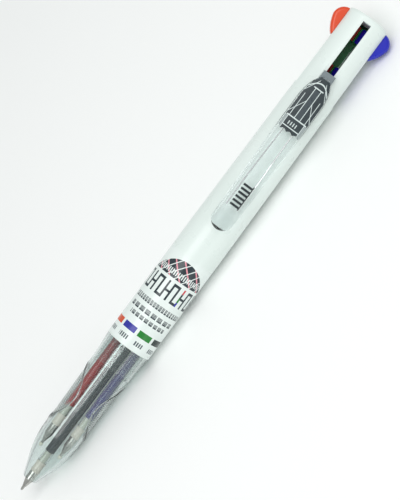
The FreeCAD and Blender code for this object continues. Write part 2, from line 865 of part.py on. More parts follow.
def refill_outlines():
    """The outline of each turned piece of a refill, as (x, radius) corners."""
    collar_end = size("collar_end")
    tube_end = size("refill_reach") + size("tube_past_peg")
    return {
        "tip": [
            (size("tip_front"), size("tip_cup_radius")),
            (size("tip_front"), size("tip_front_radius")),
            (size("tip_cone_end"), size("tip_radius")),
            (size("tip_end"), size("tip_radius")),
            (size("tip_end"), size("tip_spigot_radius")),
            (size("tip_spigot_end"), size("tip_spigot_radius")),
            (size("tip_spigot_end"), size("tip_bore_radius")),
            (size("tip_cone_end"), size("tip_bore_radius")),
            (size("tip_cone_end"), size("tip_feed_radius")),
            (size("tip_cup_end"), size("tip_feed_radius")),
            (size("tip_cup_end"), size("tip_cup_radius")),
        ],
        "collar": [
            (size("tip_end"), size("tip_spigot_radius")),
            (size("tip_end"), size("collar_radius")),
            (collar_end, size("collar_radius")),
            (collar_end, size("tube_bore_radius")),
            (size("collar_spigot_end"), size("tube_bore_radius")),
            (size("collar_spigot_end"), size("collar_bore_radius")),
            (size("tip_spigot_end"), size("collar_bore_radius")),
            (size("tip_spigot_end"), size("tip_spigot_radius")),
        ],
        "tube": [
            (collar_end, size("tube_bore_radius")),
            (tube_end, size("tube_bore_radius")),
            (tube_end, size("tube_radius")),
            (collar_end, size("tube_radius")),
        ],
        "ink": [
            (size("tip_spigot_end"), ZERO),
            (size("ink_end"), ZERO),
            (size("ink_end"), size("tube_bore_radius")),
            (size("collar_spigot_end"), size("tube_bore_radius")),
            (size("collar_spigot_end"), size("collar_bore_radius")),
            (size("tip_spigot_end"), size("collar_bore_radius")),
        ],
        "follower": [
            (size("ink_end"), ZERO),
            (size("follower_end"), ZERO),
            (size("follower_end"), size("tube_bore_radius")),
            (size("ink_end"), size("tube_bore_radius")),
        ],
    }


def make_refill(colour):
    """One refill: metal tip with its ball, clear collar, tube, ink and the grease behind the ink."""
    pieces = {f"{colour}_ball": make_ball(colour)}
    for piece, outline in refill_outlines().items():
        body = make_body(f"{colour}_{piece}")
        turn(body, outline)
        body.Placement = refill_place(colour)
        pieces[f"{colour}_{piece}"] = body
    if colour in BEAD_COLOURS:
        pieces[f"{colour}_bead"] = make_bead(colour)
    return pieces


# ------------------------------------------------------------------ whole pen


def make_pen():
    """Every piece of the pen, by the name of its node."""
    pieces = {}
    for maker in (
        make_front_grip,
        make_barrel,
        make_label,
        make_coupling_sleeve,
        make_spring_seat,
        make_end_plug,
        make_black_slider,
        make_clip,
    ):
        pieces.update(maker())
    for colour in KNOB_COLOURS:
        pieces.update(make_knob_slider(colour))
    for colour in QUARTERS:
        pieces.update(make_spring(colour))
        pieces.update(make_refill(colour))
    return pieces


def check_pen(pieces):
    """Stops if anything in the document failed, or a piece is not one valid solid."""
    for item in document.Objects:
        if "Invalid" in item.State or "Error" in item.State:
            raise RuntimeError(f"{item.Name} failed: {item.State}")
    for name, piece in pieces.items():
        shape = piece.Shape
        if shape.isNull() or not shape.isValid() or len(shape.Solids) != 1:
            raise RuntimeError(f"{name} is not one valid solid")


def export_pen(pieces):
    os.makedirs("parts", exist_ok=True)
    for name, piece in sorted(pieces.items()):
        piece.Label = name
        piece.Shape.exportStep(f"parts/{name}.step")
        box = piece.Shape.BoundBox
        print(f"{name:16s} {piece.Shape.Volume:9.2f} mm3  x {box.XMin:7.2f} to {box.XMax:7.2f}")


PIECES = make_pen()
document.recompute()
check_pen(PIECES)
export_pen(PIECES)
print(len(PIECES), "pieces")
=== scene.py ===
"""Four-colour slider pen: the pieces that are seen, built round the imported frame.

Sizes in the classes are millimetres, measured back from the writing point along X. Meshes are in metres.
Each colour has a quarter of the barrel, and its pieces are shaped in that quarter's own frame, where Z points
out through the middle of its slot, and then rolled about X into place.
"""

import logging
import math
from dataclasses import dataclass
from enum import Enum

import bmesh
import bpy
from mathutils import Matrix, Vector


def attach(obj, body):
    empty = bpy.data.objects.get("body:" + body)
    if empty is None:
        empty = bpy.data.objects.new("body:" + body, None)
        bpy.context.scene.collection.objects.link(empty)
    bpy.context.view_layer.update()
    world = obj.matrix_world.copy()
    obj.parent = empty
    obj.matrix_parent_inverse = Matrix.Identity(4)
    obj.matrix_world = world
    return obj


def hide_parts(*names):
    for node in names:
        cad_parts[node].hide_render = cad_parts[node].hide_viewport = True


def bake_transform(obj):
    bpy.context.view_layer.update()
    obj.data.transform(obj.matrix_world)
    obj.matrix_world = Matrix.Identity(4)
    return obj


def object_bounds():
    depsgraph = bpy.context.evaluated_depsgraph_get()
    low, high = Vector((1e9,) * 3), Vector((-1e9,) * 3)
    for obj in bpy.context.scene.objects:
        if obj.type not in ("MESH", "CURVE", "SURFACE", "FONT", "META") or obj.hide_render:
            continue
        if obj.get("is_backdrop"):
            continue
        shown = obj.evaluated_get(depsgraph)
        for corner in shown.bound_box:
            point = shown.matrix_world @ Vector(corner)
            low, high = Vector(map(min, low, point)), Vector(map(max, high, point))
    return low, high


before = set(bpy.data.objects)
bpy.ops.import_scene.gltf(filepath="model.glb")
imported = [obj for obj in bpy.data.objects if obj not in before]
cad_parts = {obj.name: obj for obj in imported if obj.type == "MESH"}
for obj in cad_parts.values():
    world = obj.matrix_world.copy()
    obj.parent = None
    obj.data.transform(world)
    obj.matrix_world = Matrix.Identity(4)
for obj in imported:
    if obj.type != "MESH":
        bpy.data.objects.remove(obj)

MM = 0.001
# An edge that bends more than this stays sharp.
SHARP_EDGE = math.radians(35)
# A wave texture repeats after this at a scale of 1.
WAVE_PERIOD = 0.31416
LOG = logging.getLogger("slider_pen")

Place = tuple[float, float]
Outline = list[Place]
Numbers = tuple[float, ...]
Socket = bpy.types.NodeSocket
Node = bpy.types.Node
Tree = bpy.types.NodeTree
Span = tuple[Socket, float, float]


class Colour(Enum):
    """The four inks. Each value is the roll of that colour's quarter about the pen's axis, in degrees."""

    BLACK = 45.0
    BLUE = 135.0
    GREEN = 225.0
    RED = 315.0

    @property
    def word(self) -> str:
        """The colour's name as the frame's nodes and bodies spell it."""
        return self.name.lower()

    @property
    def is_out(self) -> bool:
        """Whether this colour's refill is pushed forward at rest."""
        return self is Colour.BLACK


# ---- shaping


def rolled(colour: Colour) -> Matrix:
    """The turn about X that takes a quarter's own frame to its place."""
    return Matrix.Rotation(math.radians(colour.value), 4, "X")


def arc(first: Place, via: Place, last: Place, steps: int) -> Outline:
    """Points along the circle through three places, without the first one.

    Args:
        first: Where the arc starts.
        via: A place that it passes.
        last: Where it ends.
        steps: How many points it gets.

    Returns:
        The points after the first, up to and with the last.
    """
    a, b, c = (Vector(p) for p in (first, via, last))
    scale = 2 * (a.x * (b.y - c.y) + b.x * (c.y - a.y) + c.x * (a.y - b.y))
    squares = [p.length_squared for p in (a, b, c)]
    centre = Vector(
        (
            (squares[0] * (b.y - c.y) + squares[1] * (c.y - a.y) + squares[2] * (a.y - b.y)) / scale,
            (squares[0] * (c.x - b.x) + squares[1] * (a.x - c.x) + squares[2] * (b.x - a.x)) / scale,
        )
    )
    turn = (a - centre).angle_signed(c - centre)
    return [tuple(centre + Matrix.Rotation(-turn * i / steps, 2) @ (a - centre)) for i in range(1, steps + 1)]


def height_at(outline: Outline, x: float) -> float:
    """The height of an outline that runs from low x to high x, at x."""
    for (x0, y0), (x1, y1) in zip(outline, outline[1:]):
        if x <= x1:
            return y0 + (y1 - y0) * max(0.0, x - x0) / (x1 - x0)
    return outline[-1][1]


def smoothstep(low: float, high: float, value: float) -> float:
    """0 below low, 1 above high and a smooth rise between."""
    share = min(1.0, max(0.0, (value - low) / (high - low)))
    return share * share * (3 - 2 * share)


def turned(corners: Outline, segments: int, closed: bool = True) -> bmesh.types.BMesh:
    """Turns an outline about the X axis.

    Args:
        corners: The outline as (x, radius), in millimetres.
        segments: Steps in a full turn.
        closed: False where the outline starts and ends on the axis.

    Returns:
        The turned shell, closed and facing outwards.
    """
    bm = bmesh.new()
    face = bm.faces.new([bm.verts.new((x * MM, 0, radius * MM)) for x, radius in corners])
    bmesh.ops.delete(bm, geom=[face], context="FACES_ONLY")
    if not closed:
        on_axis = [e for e in bm.edges if all(v.co.z < 1e-9 for v in e.verts)]
        bmesh.ops.delete(bm, geom=on_axis, context="EDGES")
    bmesh.ops.spin(
        bm, geom=[*bm.verts, *bm.edges], cent=(0, 0, 0), axis=(1, 0, 0), angle=math.tau, steps=segments,
        use_merge=True,
    )
    bmesh.ops.remove_doubles(bm, verts=bm.verts, dist=1e-7)
    bmesh.ops.recalc_face_normals(bm, faces=bm.faces)
    return bm


def lofted(sections: list[list[Vector]]) -> bmesh.types.BMesh:
    """Draws a skin through closed sections with the same number of points, and closes both ends.

    Args:
        sections: The sections in order, in metres.

    Returns:
        The closed shell, facing outwards.
    """
    bm = bmesh.new()
    ring = [bm.verts.new(point) for point in sections[0]]
    bm.faces.new(ring)
    edges = [bm.edges.get((a, b)) for a, b in zip(ring, ring[1:] + ring[:1])]
    for section in sections[1:]:
        made = bmesh.ops.extrude_edge_only(bm, edges=edges)["geom"]
        fresh = {v for v in made if isinstance(v, bmesh.types.BMVert)}
        ring = [next(e.other_vert(v) for e in v.link_edges if e.other_vert(v) in fresh) for v in ring]
        for vert, point in zip(ring, section):
            vert.co = point
        edges = [bm.edges.get((a, b)) for a, b in zip(ring, ring[1:] + ring[:1])]
    bm.faces.new(ring)
    bmesh.ops.recalc_face_normals(bm, faces=bm.faces)
    return bm


def smooth(mesh: bpy.types.Mesh) -> None:
    """Shades a mesh smooth, with its sharp edges kept sharp."""
    mesh.shade_smooth()
    mesh.set_sharp_from_angle(angle=SHARP_EDGE)


def settle(
    bm: bmesh.types.BMesh,
    name: str,
    finish: "Finish",
    body: str,
    replaces: tuple[str, ...] = (),
    place: Matrix = Matrix(),
) -> bpy.types.Object:
    """Makes a finished piece of a bmesh, puts it in place and gives it to a body of the frame.

    Args:
        bm: The shape, in its own frame. It is freed.
        name: The piece's name.
        finish: What it is made of.
        body: The body that it rides on, or nothing for a piece on no body.
        replaces: The frame's nodes that it stands for.
        place: Takes the piece's own frame to the pen's frame.

    Returns:
        The new object.
    """
    bm.transform(place)
    mesh = bpy.data.meshes.new(name)
    bm.to_mesh(mesh)
    bm.free()
    smooth(mesh)
    mesh.materials.append(finish.material())
    piece = bpy.data.objects.new(name, mesh)
    bpy.context.scene.collection.objects.link(piece)
    if body:
        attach(piece, body)
    if replaces:
        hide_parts(*replaces)
    LOG.info("%s: %d faces, %s, on %s", name, len(mesh.polygons), finish.name, body)
    return piece


def carve(piece: bpy.types.Object, cutter: bmesh.types.BMesh) -> None:
    """Cuts a shape out of a piece's mesh for good, and shades it again. The cutter is freed."""
    mesh = bpy.data.meshes.new("cutter")
    cutter.to_mesh(mesh)
    cutter.free()
    tool = bpy.data.objects.new("cutter", mesh)
    bpy.context.scene.collection.objects.link(tool)
    cut = piece.modifiers.new("cut", "BOOLEAN")
    cut.operation, cut.object, cut.solver = "DIFFERENCE", tool, "EXACT"
    bpy.context.view_layer.update()
    result = bpy.data.meshes.new_from_object(piece.evaluated_get(bpy.context.evaluated_depsgraph_get()))
    piece.modifiers.clear()
    piece.data = result
    smooth(piece.data)
    bpy.data.objects.remove(tool)


def dress(node: str, finish: "Finish") -> None:
    """Gives one of the frame's own nodes its finish and leaves its shape alone."""
    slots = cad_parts[node].data.materials
    slots.clear()
    slots.append(finish.material())
    LOG.info("%s: kept from the frame, %s", node, finish.name)


# ---- finishes


def linear(hex_colour: str) -> tuple[float, float, float, float]:
    """An sRGB hex colour as linear red, green, blue and alpha."""
    parts = [int(hex_colour[i : i + 2], 16) / 255 for i in (1, 3, 5)]
    return (*[c / 12.92 if c <= 0.04045 else ((c + 0.055) / 1.055) ** 2.4 for c in parts], 1.0)


def add_node(tree: Tree, kind: str, links: dict[str | int, Socket] | None = None, **settings: object) -> Node:
    """Adds a shader node.

    Args:
        tree: The node tree.
        kind: The node's type.
        links: The socket that feeds each input.
        settings: Properties, or values of inputs, with _ for a space in the input's name. An input whose name
            is used twice is in_ and its number.

    Returns:
        The new node.
    """
    node = tree.nodes.new(kind)
    for name, value in settings.items():
        if hasattr(node, name):
            setattr(node, name, value)
        elif name.startswith("in_"):
            node.inputs[int(name[3:])].default_value = value
        else:
            node.inputs[name.replace("_", " ")].default_value = value
    for name, source in (links or {}).items():
        tree.links.new(source, node.inputs[name])
    return node


@dataclass(frozen=True)
class Finish:
    """A material and how its surface was made."""

    name: str
    colour: str

    def material(self) -> bpy.types.Material:
        """The Blender material, made the first time it is asked for."""
        found = bpy.data.materials.get(self.name)
        if found:
            return found
        made = bpy.data.materials.new(self.name)
        made.use_nodes = True
        made.node_tree.nodes.clear()
        self.build(made.node_tree)
        return made

    def build(self, tree: Tree) -> None:
        """Fills the node tree."""
        raise NotImplementedError

    def grain(self, tree: Tree, size_mm: float, stretch: float = 1.0, detail: float = 2.0) -> Socket:
        """A noise over the piece.

        Args:
            tree: The node tree.
            size_mm: The size of its spots.
            stretch: How many times longer they are along the pen.
            detail: Octaves of finer noise.

        Returns:
            The noise's value.
        """
        place = add_node(tree, "ShaderNodeTexCoord")
        along = add_node(
            tree, "ShaderNodeMapping", {"Vector": place.outputs["Object"]}, Scale=(1 / stretch, 1.0, 1.0)
        )
        noise = add_node(
            tree, "ShaderNodeTexNoise", {"Vector": along.outputs["Vector"]}, Scale=1 / (size_mm * MM), Detail=detail
        )
        return noise.outputs["Fac"]

    def uneven(
        self, tree: Tree, low: float, high: float, size_mm: float, stretch: float = 1.0, detail: float = 2.0
    ) -> Socket:
        """A value that wanders from low to high over the piece, in spots as in grain."""
        return add_node(
            tree, "ShaderNodeMapRange", {"Value": self.grain(tree, size_mm, stretch, detail)}, From_Min=0.3,
            From_Max=0.7, To_Min=low, To_Max=high,
        ).outputs["Result"]

    def clouded(self, tree: Tree, other: str, size_mm: float, stretch: float = 1.0, detail: float = 2.0) -> Socket:
        """The finish's colour with another one drifting through it, in spots as in grain."""
        return add_node(
            tree, "ShaderNodeMix", {"Factor": self.grain(tree, size_mm, stretch, detail)}, data_type="RGBA",
            in_6=linear(self.colour), in_7=linear(other),
        ).outputs[2]

    def surface(
        self, tree: Tree, relief: Socket, depth_mm: float, links: dict[str, Socket], strength: float = 1.0,
        **settings: object,
    ) -> None:
        """Ends the tree in an opaque surface.

        Args:
            tree: The node tree.
            relief: The surface's relief.
            depth_mm: How deep the relief is.
            links: The socket that feeds each of the shader's inputs.
            strength: How much of the relief shows.
            settings: The shader's other values.
        """
        bump = add_node(tree, "ShaderNodeBump", {"Height": relief}, Strength=strength, Distance=depth_mm * MM)
        shader = add_node(
            tree, "ShaderNodeBsdfPrincipled", {**links, "Normal": bump.outputs["Normal"]}, **settings
        )
        add_node(tree, "ShaderNodeOutputMaterial", {"Surface": shader.outputs["BSDF"]})


@dataclass(frozen=True)
class MouldedPlastic(Finish):
    """Opaque plastic out of a polished mould: even colour, soft gloss, a faint ripple where it shrank."""

    shade: str
    roughness: float
    ripple_mm: float = 0.004
    flow_mm: float = 9.0
    wear_mm: float = 3.5
    shrink_mm: float = 1.6
    scratch_mm: float = 0.25

    def build(self, tree: Tree) -> None:
        """Colour drifts along the flow, gloss is worn unevenly by hands, and fine scratches run lengthways."""
        colour = self.clouded(tree, self.shade, self.flow_mm, stretch=3.0)
        worn = self.uneven(tree, self.roughness - 0.05, self.roughness + 0.06, self.wear_mm, detail=4.0)
        scratches = self.grain(tree, self.scratch_mm, stretch=14.0, detail=1.0)
        ripple = add_node(
            tree, "ShaderNodeMath", {0: self.grain(tree, self.shrink_mm), 1: scratches}, operation="ADD"
        ).outputs["Value"]
        self.surface(tree, ripple, self.ripple_mm, {"Base Color": colour, "Roughness": worn}, IOR=1.54)


@dataclass(frozen=True)
class ClearPlastic(Finish):
    """Clear moulded plastic: it bends light, mirrors the lamps sharply and darkens where it is seen edge on."""

    ior: float
    roughness: float
    absorbs: str
    density: float
    ripple_mm: float
    flow_mm: float = 1.4
    haze_mm: float = 4.0

    def build(self, tree: Tree) -> None:
        """Flow lines bend what is seen through it, and lamps shine through it to what is inside."""
        lines = self.grain(tree, self.flow_mm, stretch=8.0)
        bent = add_node(tree, "ShaderNodeBump", {"Height": lines}, Strength=1.0, Distance=self.ripple_mm * MM)
        haze = self.uneven(tree, self.roughness * 0.6, self.roughness * 1.6, self.haze_mm)
        glass = add_node(
            tree, "ShaderNodeBsdfPrincipled", {"Roughness": haze, "Normal": bent.outputs["Normal"]},
            Base_Color=linear(self.colour), IOR=self.ior, Transmission_Weight=1.0,
        )
        open_way = add_node(tree, "ShaderNodeBsdfTransparent", Color=linear(self.colour))
        path = add_node(tree, "ShaderNodeLightPath")
        both = add_node(
            tree, "ShaderNodeMixShader",
            {0: path.outputs["Is Shadow Ray"], 1: glass.outputs["BSDF"], 2: open_way.outputs["BSDF"]},
        )
        inside = add_node(tree, "ShaderNodeVolumeAbsorption", Color=linear(self.absorbs), Density=self.density)
        links = {"Surface": both.outputs["Shader"], "Volume": inside.outputs["Volume"]}
        add_node(tree, "ShaderNodeOutputMaterial", links)


@dataclass(frozen=True)
class TurnedSteel(Finish):
    """Stainless steel off a small lathe: bright, with fine rings round the piece."""

    roughness: float = 0.2
    ring_mm: float = 0.25
    ring_depth_mm: float = 0.002
    gloss_mm: float = 0.8
    tarnish_mm: float = 1.2
    tarnish: str = "#9FA09C"

    def build(self, tree: Tree) -> None:
        """Rings are drawn wider than the real ones, which are too fine to show."""
        place = add_node(tree, "ShaderNodeTexCoord")
        rings = add_node(
            tree, "ShaderNodeTexWave", {"Vector": place.outputs["Object"]}, wave_type="BANDS", bands_direction="X",
            Scale=WAVE_PERIOD / (self.ring_mm * MM), Distortion=0.6,
        )
        gloss = self.uneven(tree, self.roughness - 0.06, self.roughness + 0.1, self.gloss_mm)
        links = {"Base Color": self.clouded(tree, self.tarnish, self.tarnish_mm), "Roughness": gloss}
        self.surface(tree, rings.outputs["Fac"], self.ring_depth_mm, links, Metallic=1.0, Anisotropic=0.4)


@dataclass(frozen=True)
class WetFilling(Finish):
    """Gel ink, grease or wax: a soft body with a wet skin and fine pigment in it."""

    shade: str
    roughness: float = 0.12
    speck_mm: float = 0.35
    skin_mm: float = 0.0008

    def build(self, tree: Tree) -> None:
        """Pigment lies in faint clouds, longer along the pen."""
        clouds = (self.speck_mm, 6.0, 4.0)
        links = {
            "Base Color": self.clouded(tree, self.shade, *clouds),
            "Roughness": self.uneven(tree, self.roughness, self.roughness + 0.15, *clouds),
        }
        self.surface(tree, self.grain(tree, *clouds), self.skin_mm, links, IOR=1.36)


@dataclass(frozen=True)
class Print(Finish):
    """Ink printed in flat areas. Positions are millimetres along the pen, and degrees or millimetres across."""

    drift: str = "#E1EBE7"
    drift_mm: float = 6.0
    sheen_mm: float = 1.5
    tooth_mm: float = 0.6
    tooth_depth_mm: float = 0.002

    def ground(self, tree: Tree) -> tuple[Socket, Socket, Socket]:
        """Where a point of the surface is.

        Returns:
            Its place along the pen in millimetres, its angle from the clip's side in degrees, towards the blue
            side, and its distance across the clip in millimetres.
        """
        place = add_node(tree, "ShaderNodeTexCoord")
        quarter = add_node(
            tree, "ShaderNodeMapping", {"Vector": place.outputs["Object"]},
            Rotation=(-math.radians(Colour.BLACK.value), 0, 0), Scale=(1 / MM, 1 / MM, 1 / MM),
        )
        parts = add_node(tree, "ShaderNodeSeparateXYZ", {0: quarter.outputs["Vector"]})
        across = add_node(tree, "ShaderNodeMath", {0: parts.outputs["Y"]}, operation="MULTIPLY", in_1=-1.0)
        angle = add_node(tree, "ShaderNodeMath", {0: across.outputs[0], 1: parts.outputs["Z"]}, operation="ARCTAN2")
        degrees = add_node(tree, "ShaderNodeMath", {0: angle.outputs[0]}, operation="DEGREES")
        return parts.outputs["X"], degrees.outputs[0], across.outputs[0]

    def lines(self, tree: Tree, first: Socket, second: Socket, lines: Numbers) -> Span:
        """Parallel lines, as a value that rises from 0 to their pitch again and again.

        Args:
            tree: The node tree.
            first: The place that the pitch is measured along.
            second: The place that slants them.
            lines: How much of second is added to first, the pitch, and where in it a line starts and ends.

        Returns:
            The span of the lines.
        """
        slope, pitch, start, end = lines
        place = add_node(
            tree, "ShaderNodeMath", {0: second, 2: first}, operation="MULTIPLY_ADD", in_1=slope
        ).outputs[0]
        within = add_node(tree, "ShaderNodeMath", {0: place}, operation="FLOORED_MODULO", in_1=pitch).outputs[0]
        return within, start, end

    def bowed(self, tree: Tree, along: Socket, aside: Socket, bow: float) -> Socket:
        """The place along the pen, with bow times the square of the place aside added."""
        square = add_node(tree, "ShaderNodeMath", {0: aside, 1: aside}, operation="MULTIPLY").outputs[0]
        return add_node(
            tree, "ShaderNodeMath", {0: square, 2: along}, operation="MULTIPLY_ADD", in_1=bow
        ).outputs[0]

    def lay(self, tree: Tree, under: Socket, colour: str, spans: list[Span]) -> Socket:
        """Prints one more colour where each value is between its low and its high.

        Args:
            tree: The node tree.
            under: The colours below.
            colour: The new colour.
            spans: Each value with its low and its high.

        Returns:
            The colours with the new one over them.
        """
        mask = None
        for value, low, high in spans:
            inside = add_node(
                tree, "ShaderNodeMath", {0: value}, operation="COMPARE", in_1=(low + high) / 2, in_2=(high - low) / 2
            ).outputs[0]
            if mask is not None:
                inside = add_node(tree, "ShaderNodeMath", {0: mask, 1: inside}, operation="MULTIPLY").outputs[0]
            mask = inside
        return add_node(
            tree, "ShaderNodeMix", {0: mask, 6: under}, data_type="RGBA", in_7=linear(colour)
        ).outputs[2]

    def varnish(self, tree: Tree, colour: Socket, roughness: float) -> None:
        """Ends the tree in a printed, varnished surface."""
        gloss = self.uneven(tree, roughness - 0.04, roughness + 0.08, self.sheen_mm)
        links = {"Base Color": colour, "Roughness": gloss}
        self.surface(tree, self.grain(tree, self.tooth_mm), self.tooth_depth_mm, links, IOR=1.5)


@dataclass(frozen=True)
class LabelPrint(Print):
    """Glossy film printed with a colour key, rows of short dashes, a row of bars and a patterned band.

    Pairs are the start and end of a print along the pen. Rows are a start, an end, and in degrees a pitch, how much
    of it is inked and how far the row runs each way. Lines are a slope, a pitch, and a line's start and end in it.
    """

    key: tuple[tuple[str, float], ...] = (
        ("#D0502A", -69.0), ("#2B2E9B", -25.5), ("#1E7F2E", 18.0), ("#22302F", 61.5),
    )
    key_block: tuple[float, float] = (50.5, 52.2)
    key_word: tuple[float, float] = (48.1, 49.3)
    block_reach: float = 18.0
    word_before: float = 14.0
    word_after: float = 12.0
    strokes: Numbers = (0.0, 6.0, 0.0, 3.6)
    rows: tuple[Numbers, ...] = (
        (54.3, 55.4, 13.0, 9.6, 52.0), (56.2, 57.5, 17.0, 13.0, 66.0), (58.7, 60.1, 8.0, 6.2, 74.0),
    )
    row_slope: float = 0.6
    row_gaps: Numbers = (0.0, 2.6, 0.0, 0.8)
    row_stem: float = 0.35
    bar_row: tuple[float, float] = (61.8, 66.8)
    bar_pitch: float = 14.5
    bar_width: float = 4.8
    joins: tuple[Numbers, ...] = (
        (66.1, 66.8, 0.0, 19.3), (61.8, 62.5, 14.5, 33.8), (63.9, 64.5, 29.0, 43.5),
    )
    accents: tuple[tuple[float, float, str], ...] = (
        (61.8, 63.0, "#2B2E9B"), (63.0, 64.2, "#1E7F2E"), (65.5, 66.8, "#C8424C"),
    )
    band_span: tuple[float, float] = (67.6, 74.0)
    band_reach: float = 88.0
    band_crown: float = 72.8
    arch_fall: float = 4.1
    arch_reach: float = 70.0
    pink_lines: Numbers = (9.0, 29.0, 4.0, 8.5)
    pale_lines: Numbers = (-7.0, 21.0, 0.0, 2.6)
    fine_lines: Numbers = (0.0, 5.5, 0.0, 2.6)
    fine_row: tuple[float, float] = (68.3, 69.7)
    fine_reach: float = 62.0
    dark: str = "#26343A"
    word_grey: str = "#4A565C"
    row_grey: str = "#333F45"
    pink: str = "#E79AA6"
    roughness: float = 0.2

    def build(self, tree: Tree) -> None:
        """Prints from the front of the film to its rear."""
        along, angle, _ = self.ground(tree)
        colour = self.clouded(tree, self.drift, self.drift_mm)
        stroke = self.lines(tree, angle, along, self.strokes)
        for shade, middle in self.key:
            block = [(along, *self.key_block), (angle, middle - self.block_reach, middle + self.block_reach)]
            colour = self.lay(tree, colour, shade, block)
            word = [(along, *self.key_word), (angle, middle - self.word_before, middle + self.word_after), stroke]
            colour = self.lay(tree, colour, self.word_grey, word)
        gap = self.lines(tree, angle, along, self.row_gaps)
        for low, high, pitch, inked, reach in self.rows:
            dash = self.lines(tree, angle, along, (self.row_slope, pitch, 0.0, inked))
            width = (angle, -reach, reach)
            colour = self.lay(tree, colour, self.row_grey, [(along, low, high), width, dash])
            colour = self.lay(tree, colour, self.colour, [(along, low + self.row_stem, high), width, gap])
        colour = self.bars(tree, colour, along, angle)
        colour = self.band(tree, colour, along, angle)
        self.varnish(tree, colour, self.roughness)

    def bars(self, tree: Tree, colour: Socket, along: Socket, angle: Socket) -> Socket:
        """A row of upright bars joined at their ends, one of them in three of the ink colours."""
        bar = self.lines(tree, angle, along, (0.0, self.bar_pitch, 0.0, self.bar_width))
        colour = self.lay(tree, colour, self.dark, [(along, *self.bar_row), bar])
        for low, high, start, end in self.joins:
            join = self.lines(tree, angle, along, (0.0, 3 * self.bar_pitch, start, end))
            colour = self.lay(tree, colour, self.dark, [(along, low, high), join])
        third = 2 * self.bar_pitch
        for low, high, shade in self.accents:
            colour = self.lay(tree, colour, shade, [(along, low, high), (angle, third, third + self.bar_width)])
        return colour

    def band(self, tree: Tree, colour: Socket, along: Socket, angle: Socket) -> Socket:
        """A dark band with an arched rear edge, filled with slanting lines and a row of short strokes."""
        arched = self.bowed(tree, along, angle, self.arch_fall / self.arch_reach**2)
        inside = [(arched, 0.0, self.band_crown), (along, *self.band_span), (angle, -self.band_reach, self.band_reach)]
        colour = self.lay(tree, colour, self.dark, inside)
        colour = self.lay(tree, colour, self.pink, [*inside, self.lines(tree, angle, along, self.pink_lines)])
        colour = self.lay(tree, colour, self.colour, [*inside, self.lines(tree, angle, along, self.pale_lines)])
        row = [(along, *self.fine_row), (angle, -self.fine_reach, self.fine_reach)]
        return self.lay(tree, colour, self.colour, [*row, self.lines(tree, angle, along, self.fine_lines)])


@dataclass(frozen=True)
class ClipPrint(Print):
    """Dark print on the clip's upper end: a panel of upright and slanting lines of no meaning.

    A patch is its start and end along the pen, and how near and how far it is from the clip's middle.
    """

    drift: str = "#384347"
    drift_mm: float = 1.1
    mid: str = "#3F494E"
    grey: str = "#98A2A2"
    pale: str = "#D3DEDC"
    post: Numbers = (117.6, 126.0, 0.0, 0.72)
    cheeks: Numbers = (113.0, 117.2, 2.5, 3.6)
    struts: Numbers = (117.4, 130.0, 0.9, 3.5)
    strut_lines: Numbers = (1.9, 6.2, 0.0, 0.3)
    rim: tuple[float, float] = (127.9, 128.25)
    rim_span: tuple[float, float] = (124.0, 129.0)
    rim_bow: float = 0.27
    frame_lines: tuple[Numbers, ...] = (
        (117.4, 126.6, 0.72, 0.9), (117.2, 117.5, 0.0, 2.9), (114.6, 114.85, 0.0, 2.4), (117.4, 124.0, 2.2, 2.36),
        (126.4, 126.7, 0.0, 1.4), (113.0, 117.2, 2.36, 2.5),
    )
    ticks: Numbers = (115.3, 116.3, 0.0, 1.4)
    tick_lines: Numbers = (0.0, 0.7, 0.0, 0.25)
    roughness: float = 0.3

    def build(self, tree: Tree) -> None:
        """Prints panels first and thin lines last."""
        along, _, across = self.ground(tree)
        aside = add_node(tree, "ShaderNodeMath", {0: across}, operation="ABSOLUTE").outputs[0]

        def spot(patch: Numbers) -> list[Span]:
            """The spans of a patch."""
            return [(along, *patch[:2]), (aside, *patch[2:])]

        colour = self.clouded(tree, self.drift, self.drift_mm)
        colour = self.lay(tree, colour, self.mid, spot(self.post))
        colour = self.lay(tree, colour, self.grey, spot(self.cheeks))
        leaning = self.lines(tree, along, aside, self.strut_lines)
        colour = self.lay(tree, colour, self.pale, [*spot(self.struts), leaning])
        arched = self.bowed(tree, along, aside, self.rim_bow)
        colour = self.lay(tree, colour, self.pale, [(arched, *self.rim), (along, *self.rim_span)])
        for patch in self.frame_lines:
            colour = self.lay(tree, colour, self.pale, spot(patch))
        tick = self.lines(tree, across, along, self.tick_lines)
        colour = self.lay(tree, colour, self.pale, [*spot(self.ticks), tick])
        self.varnish(tree, colour, self.roughness)


@dataclass(frozen=True)
class Paper(Finish):
    """Matt white paper on the table."""

    fibre_mm: float = 0.9
    tooth_mm: float = 0.02

    def build(self, tree: Tree) -> None:
        """Paper fibres give it a tooth that only just shows."""
        fibre = self.grain(tree, self.fibre_mm, detail=6.0)
        rough = self.uneven(tree, 0.7, 0.9, self.fibre_mm, detail=6.0)
        self.surface(tree, fibre, self.tooth_mm, {"Roughness": rough}, 0.3, Base_Color=linear(self.colour))


# White ABS: high gloss, a cold white that turns grey-green in its own shade.
WHITE_ABS = MouldedPlastic("white_abs_polished", "#E7F0EC", "#DDE8E3", 0.3)
# General-purpose polystyrene, the grip's: hard, brilliant and slightly grey where it is thick.
CLEAR_STYRENE = ClearPlastic("clear_polystyrene_moulded", "#F6FAF9", 1.59, 0.025, "#C4D2D0", 230.0, 0.002)
# Polycarbonate, the clip's: bends without breaking and is as clear.
CLEAR_CARBONATE = ClearPlastic("clear_polycarbonate_moulded", "#F6F8F8", 1.58, 0.02, "#C4C9CA", 170.0, 0.0008)
# Polypropylene, the tubes': clear but faintly milky.
CLEAR_PROPYLENE = ClearPlastic("polypropylene_extruded", "#F1F5F4", 1.49, 0.06, "#D5DCDC", 120.0, 0.001)
# Acetal in its natural colour, the collars': opaque and pale, with the gloss of the mould.
NATURAL_ACETAL = MouldedPlastic("acetal_natural_moulded", "#D6D0C6", "#C4BDB2", 0.24)
